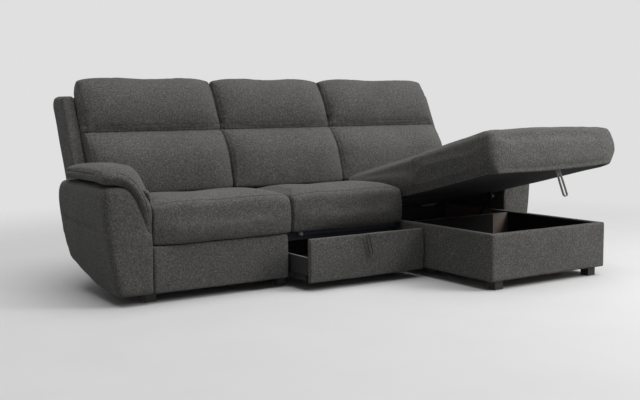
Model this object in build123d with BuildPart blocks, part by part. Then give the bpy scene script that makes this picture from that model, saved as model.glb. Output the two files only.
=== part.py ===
"""Three-place sofa with a storage chaise under a hinged lid and a drawer under the centre seat.

Frame: origin on the floor under the middle of the whole sofa, +Z up, the seats face -Y,
and the chaise is on the +X side. Depths are measured back from the seats' front plane.
The sofa is stored as it stands in use: the lid is open and the drawer is part way out.
"""
import math
import os

from build123d import *

# Widths
SEAT_W = 700.0  # one seat place
CHAISE_W = 776.0  # the chaise place
ARM_W = 160.0  # an arm at its foot
ARM_FLARE = 56.0  # how far an arm leans out at its top
WING_OUT = 122.0  # from the left seat's outer edge to the back's left end face
CHAISE_WING_OUT = 44.0  # the same beside the chaise
WING_T = 52.0  # thickness of a back end panel
CUSHION_OUT = 58.0  # how far the left back cushion reaches over its arm
SEAT_GAP = 3.0  # half the gap between neighbouring cushions
MODULE_GAP = 6.0  # gap between the seat base and the chaise base
LID_SIDE_GAP = 7.0  # gap beside the lid cushion
ARM_SETBACK = 66.0  # the chaise's arm starts this far behind the other one
CHEEK_GAP = 3.0  # arm to the back's end face
CUSHION_END_GAP = 1.0  # right back cushion to the end panel beside it

# Heights
FOOT_H = 45.0
SEAT_Z = 262.0  # underside of the seat cushions
RIM_Z = 271.0  # rim of the chaise box
SEAT_TOP = 462.0  # top front edge of the seat cushions
SEAT_CROWN = 18.0
ARM_TOP = 530.0  # top of an arm under its pad
PAD_T = 84.0
PAD_TAIL_Z = 272.0  # lower tip of the arm pad
BACK_FOOT_Z = 488.0  # underside of the back cushions
CREASE_Z = 757.0  # sewn crease across the back cushions
BACK_TOP = 1024.0
FRAME_TOP = 905.0  # top of the back posts
WING_TOP = 928.0

# Depths, back from the seats' front plane
CHAISE_REACH = 665.0  # how far the chaise box stands out in front
HINGE_D = 529.0  # hinge line of the lid
BACK_D = 662.0  # front of the back posts at hip height
HIP_Z = 470.0  # height where the back starts to lean
LEAN = 25.0  # degrees
POST_D = 60.0
PANEL_D = 55.0  # upholstered rear panel
PANEL_FOOT_D = 8.0  # its thickness at its foot
PANEL_ROUND = 22.0  # rounding of its top rear edge
WING_FRONT = 50.0  # how far an end panel stands in front of the posts
PANEL_FOOT_Z = 210.0
POST_FOOT_Z = 150.0
ARM_INNER_D = 600.0  # rear end of the arm beside the seat
ARM_REAR_D = 648.0  # rear end of the arm's outer cheek
FRONT_T = 36.0  # padded front panels
FRONT_SWELL = 6.0
CROSS_BOARD_D = 0.0  # rear wall of the storage space

# Boards and padding
BOARD = 18.0
RAIL_W = 22.0
RAIL_H = 40.0
BAR = 20.0  # steel bar over the drawer
BAR_H = 16.0
BAR_CAP = 16.0
BAR_INSET = 104.0  # drawer bay's left wall to the bar's capped end
POST_W = 45.0
STRAP_W = 60.0
STRAP_T = 2.0
PAD = 14.0  # padded cover of the chaise box
RIM_CAP = 8.0
BOX_CORNER = 14.0
FLOOR_T = 12.0
LINING_T = 2.0
BARE_END = 115.0  # end of the storage rear wall that is left unlined
WIRE = 4.0  # seat spring wire
WAVE = 40.0  # one half wave of a seat spring
WAVE_SAG = 16.0
SPRINGS = 4  # in each seat
SEATING = 0.3  # gap under and behind soft pieces
PLAY = 0.05  # running clearance of pins and rods

# Chaise lid
LID_L = 1255.0  # hinge line to the lid's front edge
LID_T = 196.0
LID_CROWN = 14.0
LID_ANGLE = 13.5  # how far the lid stands open
LID_BOARD = 16.0
LID_RIM = 14.0  # upholstered rim round the lid board
LID_REAR = 10.0  # hinge line to the lid's rear face
HINGE_L = 90.0
HINGE_LEAF = 3.0
HINGE_REACH = 44.0
HINGE_IN = 150.0  # from the box walls to the hinges' centres
KNUCKLE_R = 6.0
KNUCKLE_ROOM = 8.0
PIN_R = 4.0

# Gas struts of the lid
STRUT_FOOT_D = 330.0
STRUT_FOOT_Z = 110.0
STRUT_HEAD = 420.0  # hinge line to the strut's lid stud
STRUT_DROP = 22.0  # stud below the hinge line when the lid is shut
STRUT_BODY_L = 190.0
STRUT_BODY_R = 9.0
STRUT_BORE_L = 140.0
ROD_INSIDE = 40.0  # rod left in the cylinder when the lid is open
EYE_R = 11.0
EYE_T = 9.0
EYE_BITE = 2.0  # how far a rod or cylinder runs into its eye
STRUT_IN = 13.0  # box wall to the strut's centre line
OPEN_PIVOT_PLAY = 2.6
PLATE = 3.0
PLATE_W = 30.0

# Drawer
DRAWER_OUT = 184.0
DRAWER_FOOT_Z = 40.0
DRAWER_TOP = 255.0
DRAWER_L = 540.0
DRAWER_SIDE_Z = 76.0
DRAWER_SIDE_H = 85.0
DRAWER_BOARD = 12.0
DRAWER_FLOOR = 6.0
DRAWER_GAP = 8.0  # drawer front to its neighbours
RUNNER_W = 13.0
RUNNER_H = 26.0
RUNNER_L = 500.0
RUNNER_START = 45.0
SHEET = 1.5  # runner steel

# Pull loops, feet and arm bolts
TAPE_T = 2.5
LID_LOOP_HALF = 12.0
DRAWER_LOOP_HALF = 9.0
LID_TAPE_W = 28.0
LID_LOOP_L = 128.0
LID_LOOP_IN = 8.0
LID_LOOP_SIDE = 30.0  # right of the lid's middle
DRAWER_TAPE_W = 20.0
DRAWER_LOOP_L = 97.0
FOOT = 50.0
FOOT_IN_X = 43.0
FOOT_IN_D = 25.0
BOLT_R = 4.0
BOLT_HEAD_R = 8.0
BOLT_HEAD = 5.0
BOLT_Z = 150.0
BOLT_DEPTHS = (370.0, 465.0, 560.0)
ARM_BOARD_D = (180.0, 590.0)
ARM_BOARD_Z = (60.0, 470.0)

# Places that follow from the sizes
TAN_LEAN = math.tan(math.radians(LEAN))
COS_LEAN = math.cos(math.radians(LEAN))
X_RIGHT = SEAT_W + CHAISE_W / 2
X_LEFT = -X_RIGHT
X_MID = X_LEFT + SEAT_W
X_CHAISE = X_MID + SEAT_W
ARM_OUT = X_RIGHT + ARM_W
ARM_TOP_OUT = ARM_OUT + ARM_FLARE
BACK_X = (X_LEFT - WING_OUT + WING_T, X_RIGHT + CHAISE_WING_OUT - WING_T)
LID_COS = math.cos(math.radians(LID_ANGLE))
LID_SIN = math.sin(math.radians(LID_ANGLE))
PANEL_TURN_Z = WING_TOP - PANEL_ROUND - HIP_Z
REAR_TOP_D = BACK_D + POST_D + PANEL_D + PANEL_TURN_Z * TAN_LEAN + PANEL_ROUND * (1 - 1 / COS_LEAN)
LOOP_TIP_D = (LID_L - LID_LOOP_IN) * LID_COS + LID_LOOP_L * LID_SIN - HINGE_D
FRONT = (LOOP_TIP_D - REAR_TOP_D) / 2
RAIL_TOP = SEAT_Z - WIRE - 2 * SEATING
RAIL_D = FRONT_T + RAIL_W
BASE_REAR_D = BACK_D - BOARD
BAY_RIGHT = X_CHAISE - MODULE_GAP - BOARD
HINGE_Z = RIM_Z + 1.0
LID_Z = HINGE_Z - 0.5
LID_BOARD_Z = LID_Z + LINING_T
BOX_X0 = X_CHAISE + 2.0
WALL_X = (BOX_X0 + PAD, X_RIGHT - PAD)
HOLD_X = (WALL_X[0] + BOARD, WALL_X[1] - BOARD)
WALL_TOP = RIM_Z - RIM_CAP
HOLD_Z = FOOT_H + FLOOR_T
BOX_FRONT = -CHAISE_REACH
WALL_FRONT = BOX_FRONT + PAD
HOLD_FRONT = WALL_FRONT + BOARD
LID_X = (X_CHAISE + LID_SIDE_GAP, X_RIGHT - LID_SIDE_GAP)
LID_FRONT = HINGE_D - LID_L
HINGE_AXIS = Axis((0, FRONT + HINGE_D, HINGE_Z), (1, 0, 0))
HINGE_XS = (HOLD_X[0] + HINGE_IN, HOLD_X[1] - HINGE_IN)
STRUT_XS = (HOLD_X[0] + STRUT_IN, HOLD_X[1] - STRUT_IN)
DRAWER_FRONT = -DRAWER_OUT
DRAWER_BACK = DRAWER_FRONT + FRONT_T
DRAWER_X = (X_MID + DRAWER_GAP, X_CHAISE - DRAWER_GAP)
SIDE_X = (X_MID + RUNNER_W, BAY_RIGHT - RUNNER_W)
SIDE_TOP = DRAWER_SIDE_Z + DRAWER_SIDE_H

pieces = {}


def keep(name, part):
    """Label a finished piece and put it on the list to write."""
    part.label = name
    pieces[name] = part


def slab(x, d, z, mode=Mode.ADD):
    """A square block between two faces on each axis: across, in depth and in height."""
    with Locations(((x[0] + x[1]) / 2, FRONT + (d[0] + d[1]) / 2, (z[0] + z[1]) / 2)):
        Box(abs(x[1] - x[0]), d[1] - d[0], z[1] - z[0], mode=mode)


def rod_x(radius, x, d, z, mode=Mode.ADD):
    """A round rod along X."""
    with Locations(Location(((x[0] + x[1]) / 2, FRONT + d, z), (0, 90, 0))):
        Cylinder(radius, abs(x[1] - x[0]), mode=mode)


def side_plane(x):
    """A plane across X whose own axes are depth and height."""
    return Plane(origin=(x, FRONT, 0), x_dir=(0, 1, 0), z_dir=(1, 0, 0))


def front_plane(d):
    """A plane across the depth whose own axes are X and height."""
    return Plane(origin=(0, FRONT + d, 0), x_dir=(1, 0, 0), z_dir=(0, -1, 0))


def lean_d(z, behind=0.0):
    """Depth at a height of the back posts' front face, or of a face behind and parallel to it."""
    return BACK_D + behind + max(z - HIP_Z, 0.0) * TAN_LEAN


def outline(start, *steps):
    """A closed face of lines, each an end point, and arcs, each a point on the way and an end."""
    with BuildLine() as border:
        here = start
        for step in steps:
            if isinstance(step[0], tuple):
                ThreePointArc(here, step[0], step[1])
                here = step[1]
            else:
                Line(here, step)
                here = step
        Line(here, start)
    make_face(border.edges())


def stations(x, shoulder):
    """Where a cushion's sections stand across its width, and how far each is tucked in."""
    middle = (x[0] + x[1]) / 2
    return ((x[0], 1.0), (x[0] + shoulder, 0.2), (middle, 0.0), (x[1] - shoulder, 0.2), (x[1], 1.0))


# Seat base boards and rails
with BuildPart() as left_base_board:
    slab((X_LEFT, X_LEFT + BOARD), (FRONT_T, BASE_REAR_D), (FOOT_H, RAIL_TOP))
    for bolt_d in BOLT_DEPTHS:
        rod_x(BOLT_R + PLAY, (X_LEFT, X_LEFT + BOARD), bolt_d, BOLT_Z, Mode.SUBTRACT)
keep("left_base_board", left_base_board.part)

with BuildPart() as bay_divider:
    slab((X_MID - BOARD, X_MID), (FRONT_T, BASE_REAR_D), (FOOT_H, RAIL_TOP))
keep("bay_divider", bay_divider.part)

with BuildPart() as right_base_board:
    slab((BAY_RIGHT, BAY_RIGHT + BOARD), (FRONT_T, BASE_REAR_D), (FOOT_H, RAIL_TOP))
keep("right_base_board", right_base_board.part)

with BuildPart() as rear_base_board:
    slab((X_LEFT, BAY_RIGHT + BOARD), (BASE_REAR_D, BACK_D), (FOOT_H, RAIL_TOP))
    slab((BACK_X[0], X_LEFT), (BASE_REAR_D, BACK_D), (POST_FOOT_Z, RAIL_TOP))
keep("rear_base_board", rear_base_board.part)

SEAT_BAYS = {"left": (X_LEFT + BOARD, X_MID - BOARD), "centre": (X_MID, BAY_RIGHT)}

with BuildPart() as seat_front_rails:
    for bay in SEAT_BAYS.values():
        slab(bay, (RAIL_D, RAIL_D + RAIL_W), (RAIL_TOP - RAIL_H, RAIL_TOP))
keep("seat_front_rails", seat_front_rails.part)

with BuildPart() as seat_rear_rails:
    for bay in SEAT_BAYS.values():
        slab(bay, (BASE_REAR_D - RAIL_W, BASE_REAR_D), (RAIL_TOP - RAIL_H, RAIL_TOP))
keep("seat_rear_rails", seat_rear_rails.part)

# Waved wire springs laid from the front rail to the rear rail
WAVES = int((BASE_REAR_D - RAIL_D - RAIL_W) / WAVE)
SPRING_START = (RAIL_D + BASE_REAR_D - WAVES * WAVE) / 2

with BuildPart() as seat_springs:
    for bay in SEAT_BAYS.values():
        for number in range(SPRINGS):
            spring_x = bay[0] + (bay[1] - bay[0]) * (number + 0.5) / SPRINGS
            spring_z = RAIL_TOP + WIRE / 2 + SEATING
            with BuildLine() as path:
                for wave in range(WAVES):
                    begin = (spring_x, FRONT + SPRING_START + wave * WAVE, spring_z)
                    top = (spring_x + (-1) ** wave * WAVE_SAG, begin[1] + WAVE / 2, spring_z)
                    ThreePointArc(begin, top, (spring_x, begin[1] + WAVE, spring_z))
            with BuildSketch(Plane(origin=path.line @ 0, z_dir=path.line % 0)):
                Circle(WIRE / 2)
            sweep(path=path.line)
keep("seat_springs", seat_springs.part)

# Steel bar with a plastic end cap on the face of the rail over the drawer
BAR_X = X_MID + BAR_INSET
BAR_Z = (RAIL_TOP - SEATING - BAR_H, RAIL_TOP - SEATING)
with BuildPart() as drawer_bay_bar:
    slab((BAR_X, BAY_RIGHT), (RAIL_D - BAR, RAIL_D), BAR_Z)
keep("drawer_bay_bar", drawer_bay_bar.part)

with BuildPart() as bar_end_cap:
    slab((BAR_X - BAR_CAP, BAR_X), (RAIL_D - BAR, RAIL_D), BAR_Z)
    fillet(bar_end_cap.faces().sort_by(Axis.X)[0].edges(), 2.0)
keep("bar_end_cap", bar_end_cap.part)

with BuildPart() as dust_cover:
    slab(SEAT_BAYS["left"], (FRONT_T, BASE_REAR_D), (FOOT_H, FOOT_H + LINING_T))
keep("dust_cover", dust_cover.part)


# Seat cushions: crowned on top, swollen in front and drawn in at both ends
SEAT_NOSE = -16.0  # front of a seat cushion
SEAT_REAR = 572.0
SEAT_EDGE = 46.0  # rounding of the top front edge
SEAT_TUCK = 16.0
SEAT_SHOULDER = 60.0
SEAT_FOOT_IN = 14.0  # how far the front is drawn back at its foot
SEAT_BOW = 2.0
TAIL_ROUND = 30.0  # rounding of a cushion's rear top edge
TAIL_TURN = 0.29


def seat_section(tuck):
    nose = SEAT_NOSE + SEAT_TUCK * tuck
    top = SEAT_TOP - SEAT_TUCK * tuck
    crown = top + SEAT_CROWN * (1 - 0.6 * tuck)
    rear = SEAT_REAR - SEAT_TUCK / 2 * tuck
    turn = SEAT_EDGE * (1 - math.sqrt(0.5))
    tail = TAIL_ROUND * TAIL_TURN
    outline(
        (rear, SEAT_Z),
        (nose + SEAT_FOOT_IN, SEAT_Z),
        ((nose - SEAT_BOW, (SEAT_Z + top) / 2), (nose, top - SEAT_EDGE)),
        ((nose + turn, top - turn), (nose + SEAT_EDGE, top)),
        (((nose + rear) / 2, crown), (rear - TAIL_ROUND, top)),
        ((rear - tail, top - tail), (rear, top - TAIL_ROUND)),
    )


for place, ends in {"left": (X_LEFT, X_MID), "centre": (X_MID, X_CHAISE)}.items():
    with BuildPart() as seat_cushion:
        for x, tuck in stations((ends[0] + SEAT_GAP, ends[1] - SEAT_GAP), SEAT_SHOULDER):
            with BuildSketch(side_plane(x)):
                seat_section(tuck)
        loft()
    keep(f"seat_cushion_{place}", seat_cushion.part)


# Padded front panels: one fixed under the left seat, one on the drawer
def padded_front(x, front, z):
    with BuildSketch(side_plane(x[0])) as profile:
        outline(
            (front + FRONT_T, z[0]),
            (front + FRONT_SWELL, z[0]),
            ((front, (z[0] + z[1]) / 2), (front + FRONT_SWELL, z[1])),
            (front + FRONT_T, z[1]),
        )
    extrude(profile.sketch, amount=x[1] - x[0])


with BuildPart() as front_panel_left:
    padded_front((X_LEFT + SEAT_GAP, X_MID - 1.0), 0.0, (FOOT_H, SEAT_Z - SEAT_GAP))
    fillet(front_panel_left.faces().sort_by(Axis.Y)[0].edges(), 5.0)
keep("front_panel_left", front_panel_left.part)

with BuildPart() as drawer_front:
    padded_front(DRAWER_X, DRAWER_FRONT, (DRAWER_FOOT_Z, DRAWER_TOP))
    fillet(drawer_front.faces().sort_by(Axis.Y)[0].edges(), 5.0)
keep("drawer_front", drawer_front.part)


# Arms: a flared body with a board inside and a pad that runs over its top and down its front
ARM_FRONT_EDGE = 26.0
ARM_CUT_RISE = 112.0  # rise of the arm's lower edge towards the rear
ARM_CUT_D = 590.0
ARM_HEEL_IN = 18.0
ARM_HEEL_Z = 440.0
ARM_HEEL_ROUND = 84.0  # rounding of the arm's top rear corner
PAD_NECK = 150.0  # where the pad leaves the arm's top to run down its front
PAD_TAIL_D = (10.0, 52.0)
PAD_REAR_ROUND = 18.0
PAD_REAR_DROP = 16.0
CUSHION_ROOM_D = 526.0  # where the left arm gives way to the end of the back cushion
CUSHION_ROOM_X = X_RIGHT + CUSHION_OUT + 2.0
CUSHION_ROOM_Z = BACK_FOOT_Z - 1.0

# Arm pad sections from its outer to its inner edge: distance from the seats' edge,
# height of the lower tip, of the nose and of the top, front, where the top turns down, and rear
PAD_SECTIONS = (
    (ARM_W + ARM_FLARE - 1.0, ARM_TOP - 4.0, 556.0, 600.0, 4.0, 70.0, 516.0),
    (ARM_W + ARM_FLARE - 26.0, ARM_TOP - 5.0, 558.0, ARM_TOP + PAD_T - 2.0, -12.0, 80.0, 540.0),
    (122.0, ARM_TOP - 8.0, 556.0, ARM_TOP + PAD_T, -15.0, 95.0, 548.0),
    (65.0, 455.0, 500.0, ARM_TOP + PAD_T - 3.0, -15.0, 175.0, 548.0),
    (32.0, 350.0, 458.0, ARM_TOP + PAD_T - 12.0, -13.0, 250.0, 548.0),
    (1.0, PAD_TAIL_Z, 420.0, ARM_TOP + PAD_T - 26.0, -5.0, 330.0, 548.0),
)
PAD_ROUND = 0.27  # how far the nose's arc swells past a straight slope


def pad_loft(side, start, grow, mode=Mode.ADD):
    """The arm pad's form, or a form grown on its hidden faces that cuts its seat in the arm."""
    sections = []
    for across, tail, nose, top, front, turn, rear in PAD_SECTIONS:
        front += start
        turn += start
        swell = (front + (turn - front) * PAD_ROUND, top - (top - nose) * PAD_ROUND)
        with BuildSketch(side_plane(side * (X_RIGHT + across))) as section:
            outline(
                (rear + grow, ARM_TOP + SEATING - grow),
                (start + PAD_NECK + grow, ARM_TOP + SEATING - grow),
                (start + PAD_TAIL_D[1] + grow, tail - grow),
                (start + PAD_TAIL_D[0] - grow, tail - grow),
                (front - grow, nose),
                (swell, (turn, top)),
                (((turn + rear) / 2, top + 4.0), (rear - PAD_REAR_ROUND, top - PAD_REAR_DROP)),
            )
        sections.append(section.sketch.face())
    loft(sections, mode=mode)


def cushion_room():
    """Cut the corner of the left arm that the end of the back cushion fills."""
    slab(
        (X_LEFT, -CUSHION_ROOM_X),
        (CUSHION_ROOM_D, ARM_REAR_D),
        (CUSHION_ROOM_Z, BACK_TOP),
        Mode.SUBTRACT,
    )


for name, side, start in (("left", -1, 0.0), ("right", 1, ARM_SETBACK)):
    inner = side * X_RIGHT
    foot = side * ARM_OUT
    crest = side * ARM_TOP_OUT
    board_d = (start + ARM_BOARD_D[0], ARM_BOARD_D[1])

    with BuildPart() as arm_pad:
        pad_loft(side, start, 0.0)
        if name == "left":
            cushion_room()
    keep(f"{name}_arm_pad", arm_pad.part)

    with BuildPart() as arm_body:
        with BuildSketch(front_plane(start)):
            outline(
                (inner, FOOT_H),
                (foot, FOOT_H),
                ((foot + side * ARM_FLARE * 0.72, (FOOT_H + ARM_TOP) / 2), (crest, ARM_TOP)),
                (inner, ARM_TOP),
            )
        extrude(amount=start - ARM_REAR_D)
        top_edges = arm_body.faces().sort_by(Axis.Z)[-1].edges()
        fillet(top_edges.sort_by(Axis.Y)[-1], ARM_HEEL_ROUND)
        front_edges = arm_body.faces().sort_by(Axis.Y)[0].edges()
        fillet(front_edges.sort_by(lambda edge: side * edge.center().X)[-1], ARM_FRONT_EDGE)
        with BuildSketch(side_plane(0)):
            outline(
                (0.0, 0.0),
                (0.0, FOOT_H),
                (
                    (ARM_CUT_D * 0.55, FOOT_H + ARM_CUT_RISE * 0.3),
                    (ARM_CUT_D, FOOT_H + ARM_CUT_RISE),
                ),
                ((ARM_REAR_D - ARM_HEEL_IN, ARM_HEEL_Z * 0.66), (ARM_REAR_D, ARM_HEEL_Z)),
                (ARM_REAR_D + FOOT_H, ARM_HEEL_Z),
                (ARM_REAR_D + FOOT_H, 0.0),
            )
        extrude(amount=2 * crest, mode=Mode.SUBTRACT)
        cheek = BACK_X[side > 0] + side * (WING_T + CHEEK_GAP)
        slab((inner, cheek), (ARM_INNER_D, ARM_REAR_D), (FOOT_H, ARM_TOP), Mode.SUBTRACT)
        slab((inner, inner + side * BOARD), board_d, ARM_BOARD_Z, Mode.SUBTRACT)
        pad_loft(side, start, SEATING, Mode.SUBTRACT)
        if name == "left":
            cushion_room()
    keep(f"{name}_arm_body", arm_body.part)

    with BuildPart() as arm_board:
        slab((inner, inner + side * BOARD), board_d, ARM_BOARD_Z)
        for bolt_d in BOLT_DEPTHS:
            rod_x(BOLT_R + PLAY, (inner, inner + side * BOARD), bolt_d, BOLT_Z, Mode.SUBTRACT)
    keep(f"{name}_arm_board", arm_board.part)

# Bolts that hang the arms on the two bases
BOLT_HEADS = {-1: X_LEFT + BOARD, 1: HOLD_X[1]}
with BuildPart() as arm_bolts:
    for side, head_x in BOLT_HEADS.items():
        for bolt_d in BOLT_DEPTHS:
            rod_x(BOLT_R, (head_x, side * (X_RIGHT + BOARD)), bolt_d, BOLT_Z)
            rod_x(BOLT_HEAD_R, (head_x, head_x - side * BOLT_HEAD), bolt_d, BOLT_Z)
keep("arm_bolts", arm_bolts.part)

# Back frame: leaning posts, rails and straps, an upholstered rear panel and two end panels
POST_XS = (BACK_X[0] + POST_W / 2, X_MID, X_CHAISE, BACK_X[1] - POST_W / 2)
RAIL_DEPTH = 34.0
RAIL_TALL = 46.0
with BuildPart() as back_posts:
    for x in POST_XS:
        with BuildSketch(side_plane(x - POST_W / 2)):
            outline(
                (BACK_D, POST_FOOT_Z),
                (BACK_D + POST_D, POST_FOOT_Z),
                (BACK_D + POST_D, HIP_Z),
                (lean_d(FRAME_TOP, POST_D), FRAME_TOP),
                (lean_d(FRAME_TOP), FRAME_TOP),
                (BACK_D, HIP_Z),
            )
        extrude(amount=POST_W)
keep("back_posts", back_posts.part)

BACK_RAILS = {"back_top_rail": FRAME_TOP - RAIL_TALL, "back_lower_rail": HIP_Z + RAIL_TALL}
for name, low in BACK_RAILS.items():
    high = low + RAIL_TALL
    with BuildPart() as back_rail:
        for begin, end in zip(POST_XS, POST_XS[1:]):
            with BuildSketch(side_plane(begin + POST_W / 2)):
                outline(
                    (lean_d(low, POST_D - RAIL_DEPTH), low),
                    (lean_d(low, POST_D), low),
                    (lean_d(high, POST_D), high),
                    (lean_d(high, POST_D - RAIL_DEPTH), high),
                )
            extrude(amount=end - begin - POST_W)
    keep(name, back_rail.part)

STRAPS = 5
STRAP_FIRST = 60.0
LEAN_NORMAL = (0, -COS_LEAN, COS_LEAN * TAN_LEAN)
LEAN_PLANE = Plane(origin=(0, FRONT + BACK_D, HIP_Z), x_dir=(1, 0, 0), z_dir=LEAN_NORMAL)
LEAN_LENGTH = (FRAME_TOP - HIP_Z) / COS_LEAN
with BuildPart() as back_straps:
    for number in range(STRAPS):
        height = STRAP_FIRST + (LEAN_LENGTH - 2 * STRAP_FIRST) * number / (STRAPS - 1)
        with BuildSketch(LEAN_PLANE):
            with Locations((sum(BACK_X) / 2, height)):
                Rectangle(BACK_X[1] - BACK_X[0], STRAP_W)
        extrude(amount=STRAP_T)
keep("back_straps", back_straps.part)

with BuildPart() as back_panel:
    with BuildSketch(side_plane(BACK_X[0])):
        outline(
            (BACK_D + POST_D, PANEL_FOOT_Z),
            (BACK_D + POST_D + PANEL_FOOT_D, PANEL_FOOT_Z),
            (BACK_D + POST_D + PANEL_D, HIP_Z),
            (lean_d(WING_TOP, POST_D + PANEL_D), WING_TOP),
            (lean_d(WING_TOP), WING_TOP),
            (lean_d(FRAME_TOP), FRAME_TOP),
            (lean_d(FRAME_TOP, POST_D), FRAME_TOP),
            (BACK_D + POST_D, HIP_Z),
        )
    extrude(amount=BACK_X[1] - BACK_X[0])
    fillet(back_panel.edges().filter_by(Axis.X).sort_by(Axis.Y)[-1], PANEL_ROUND)
keep("back_panel", back_panel.part)

WING_ROUND = 40.0
WING_EDGE = 12.0
for name, side, x in (("left", -1, BACK_X[0]), ("right", 1, BACK_X[1])):
    with BuildPart() as back_wing:
        with BuildSketch(side_plane(x)):
            outline(
                (BACK_D - WING_FRONT, PANEL_FOOT_Z),
                (BACK_D + POST_D + PANEL_FOOT_D, PANEL_FOOT_Z),
                (BACK_D + POST_D + PANEL_D, HIP_Z),
                (lean_d(WING_TOP, POST_D + PANEL_D), WING_TOP),
                (lean_d(WING_TOP, -WING_FRONT), WING_TOP),
                (BACK_D - WING_FRONT, HIP_Z),
            )
        extrude(amount=side * WING_T)
        top_edges = back_wing.edges().filter_by(Axis.X).group_by(Axis.Z)[-1]
        fillet(top_edges.sort_by(Axis.Y)[-1], WING_ROUND)
        outer_face = back_wing.faces().sort_by(lambda face: side * face.center().X)[-1]
        fillet(outer_face.edges(), WING_EDGE)
    keep(f"{name}_back_wing", back_wing.part)


# Back cushions: a lower pillow and a head roll that meet at a sewn crease
FOOT_FRONT = 556.0  # front of a back cushion at its foot, at its drawn-in ends
CREASE_D = 694.0
HEAD_D = 806.0  # front of the head roll at its top
LOWER_SWELL = 24.0
HEAD_SWELL = 12.0
BACK_CROWN = 34.0  # how far the middle stands in front of the ends
CREASE_CROWN = 14.0
BACK_SHOULDER = 70.0
TOP_TUCK = 12.0
HEAD_FRONT_DROP = 22.0
HEAD_REAR_DROP = 30.0
HEAD_END_DROP = 30.0  # how much lower the rear edge is at the drawn-in ends
SWELL_UP = 10.0  # how far the fullest line of a pillow lies above its middle
STRAP_FACE = (STRAP_T + SEATING) / COS_LEAN


def back_section(tuck):
    crown = 1 - tuck
    foot = (FOOT_FRONT - BACK_CROWN * 0.6 * crown, BACK_FOOT_Z)
    crease = (CREASE_D - CREASE_CROWN * crown, CREASE_Z)
    peak = BACK_TOP - TOP_TUCK * tuck
    top = (HEAD_D - BACK_CROWN * 0.5 * crown, peak - HEAD_FRONT_DROP)
    rear_top = peak - HEAD_REAR_DROP - HEAD_END_DROP * tuck
    rear = (lean_d(rear_top) - STRAP_FACE, rear_top)
    lower = LOWER_SWELL + BACK_CROWN * crown
    head = HEAD_SWELL + BACK_CROWN * crown
    outline(
        (lean_d(BACK_FOOT_Z) - STRAP_FACE, BACK_FOOT_Z),
        foot,
        (((foot[0] + crease[0]) / 2 - lower, (foot[1] + crease[1]) / 2 + SWELL_UP), crease),
        (((crease[0] + top[0]) / 2 - head, (crease[1] + top[1]) / 2 + SWELL_UP / 2), top),
        (((top[0] + rear[0]) / 2, peak), rear),
    )


BACK_PLACES = {
    "left": (X_LEFT - CUSHION_OUT, X_MID - SEAT_GAP),
    "centre": (X_MID + SEAT_GAP, X_CHAISE - SEAT_GAP),
    "right": (X_CHAISE + SEAT_GAP, BACK_X[1] - CUSHION_END_GAP),
}
for place, ends in BACK_PLACES.items():
    with BuildPart() as back_cushion:
        for x, tuck in stations(ends, BACK_SHOULDER):
            with BuildSketch(side_plane(x)):
                back_section(tuck)
        loft()
    keep(f"back_cushion_{place}", back_cushion.part)

# Chaise box: boards, lining and padded cover
for name, x in {"left": (WALL_X[0], HOLD_X[0]), "right": (HOLD_X[1], WALL_X[1])}.items():
    with BuildPart() as chaise_board:
        slab(x, (WALL_FRONT, BASE_REAR_D), (FOOT_H, WALL_TOP))
        if name == "right":
            for bolt_d in BOLT_DEPTHS:
                rod_x(BOLT_R + PLAY, x, bolt_d, BOLT_Z, Mode.SUBTRACT)
    keep(f"chaise_{name}_board", chaise_board.part)

with BuildPart() as chaise_front_board:
    slab(HOLD_X, (WALL_FRONT, HOLD_FRONT), (FOOT_H, WALL_TOP))
keep("chaise_front_board", chaise_front_board.part)

with BuildPart() as chaise_floor_board:
    slab(HOLD_X, (HOLD_FRONT, CROSS_BOARD_D + BOARD), (FOOT_H, HOLD_Z))
keep("chaise_floor_board", chaise_floor_board.part)

with BuildPart() as chaise_cross_board:
    slab(HOLD_X, (CROSS_BOARD_D, CROSS_BOARD_D + BOARD), (HOLD_Z, WALL_TOP))
keep("chaise_cross_board", chaise_cross_board.part)

with BuildPart() as chaise_rear_board:
    slab((WALL_X[0], BACK_X[1]), (BASE_REAR_D, BACK_D), (FOOT_H, RAIL_TOP))
keep("chaise_rear_board", chaise_rear_board.part)

HINGE_RAIL_D = (HINGE_D + KNUCKLE_ROOM, HINGE_D + KNUCKLE_ROOM + RAIL_H)
with BuildPart() as hinge_rail:
    slab(HOLD_X, HINGE_RAIL_D, (HINGE_Z - HINGE_LEAF / 2 - 2 * RAIL_H, HINGE_Z - HINGE_LEAF / 2))
keep("hinge_rail", hinge_rail.part)

LINED_X = (HOLD_X[0] + LINING_T, HOLD_X[1] - LINING_T)
LINED_D = (HOLD_FRONT + LINING_T, CROSS_BOARD_D)
with BuildPart() as chaise_lining:
    slab(HOLD_X, (HOLD_FRONT, CROSS_BOARD_D), (HOLD_Z, HOLD_Z + LINING_T))
    slab(HOLD_X, (HOLD_FRONT, HOLD_FRONT + LINING_T), (HOLD_Z, WALL_TOP))
    slab((HOLD_X[0], LINED_X[0]), LINED_D, (HOLD_Z, WALL_TOP))
    slab((LINED_X[1], HOLD_X[1]), LINED_D, (HOLD_Z, WALL_TOP))
    slab(
        (LINED_X[0], HOLD_X[1] - BARE_END),
        (CROSS_BOARD_D - LINING_T, CROSS_BOARD_D),
        (HOLD_Z, WALL_TOP),
    )
keep("chaise_lining", chaise_lining.part)

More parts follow.
